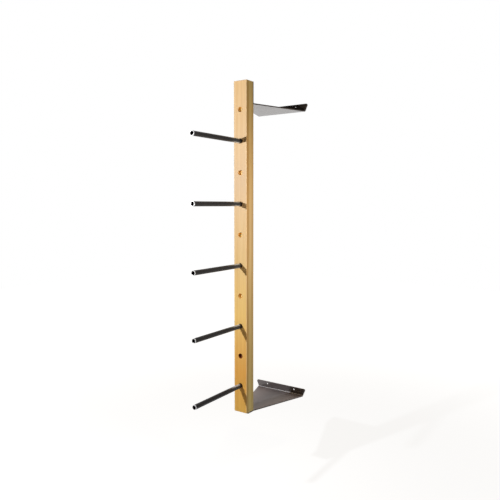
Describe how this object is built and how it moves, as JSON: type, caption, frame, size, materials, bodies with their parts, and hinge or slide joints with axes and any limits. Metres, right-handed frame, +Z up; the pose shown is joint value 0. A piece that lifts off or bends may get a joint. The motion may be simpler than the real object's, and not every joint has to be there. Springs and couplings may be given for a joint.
{
  "type": "clamp rack",
  "caption": "Wall-mounted clamp rack: a tall wooden post on two folded steel brackets, with removable steel tube pegs in a column of sockets.",
  "frame": {"origin": "on the wall plane, midway between the two screw holes of the lower bracket", "axes": "+Z up along the post, +Y into the wall, +X along the wall; the pegs point towards -Y"},
  "size_m": [0.2614, 0.6322, 1.3764],
  "materials": {
    "wood": "light softwood, thin oiled or clear finish, straight grain along the post, edges eased",
    "bracket_steel": "dark grey hot-rolled sheet with a thin satin coat, folded cold",
    "peg_steel": "blackened steel tube, semi-gloss, sawn ends left bright",
    "screw_steel": "zinc-plated steel"
  },
  "bodies": {
    "rack": {"post": "wood", "upper_bracket": "bracket_steel", "lower_bracket": "bracket_steel", "lag_screw_1": "screw_steel", "lag_screw_2": "screw_steel", "lag_washer_1": "screw_steel", "lag_washer_2": "screw_steel", "wood_screw_1": "screw_steel", "wood_screw_2": "screw_steel"},
    "peg_1_body": {"peg_1": "peg_steel"},
    "peg_2_body": {"peg_2": "peg_steel"},
    "peg_3_body": {"peg_3": "peg_steel"},
    "peg_4_body": {"peg_4": "peg_steel"},
    "peg_5_body": {"peg_5": "peg_steel"}
  },
  "joints": [
    {"name": "peg_1_pull", "type": "slide", "parent": "rack", "child": "peg_1_body", "axis": [0, -1, 0], "range_m": [0, 0.02]},
    {"name": "peg_2_pull", "type": "slide", "parent": "rack", "child": "peg_2_body", "axis": [0, -1, 0], "range_m": [0, 0.02]},
    {"name": "peg_3_pull", "type": "slide", "parent": "rack", "child": "peg_3_body", "axis": [0, -1, 0], "range_m": [0, 0.02]},
    {"name": "peg_4_pull", "type": "slide", "parent": "rack", "child": "peg_4_body", "axis": [0, -1, 0], "range_m": [0, 0.02]},
    {"name": "peg_5_pull", "type": "slide", "parent": "rack", "child": "peg_5_body", "axis": [0, -1, 0], "range_m": [0, 0.02]}
  ]
}
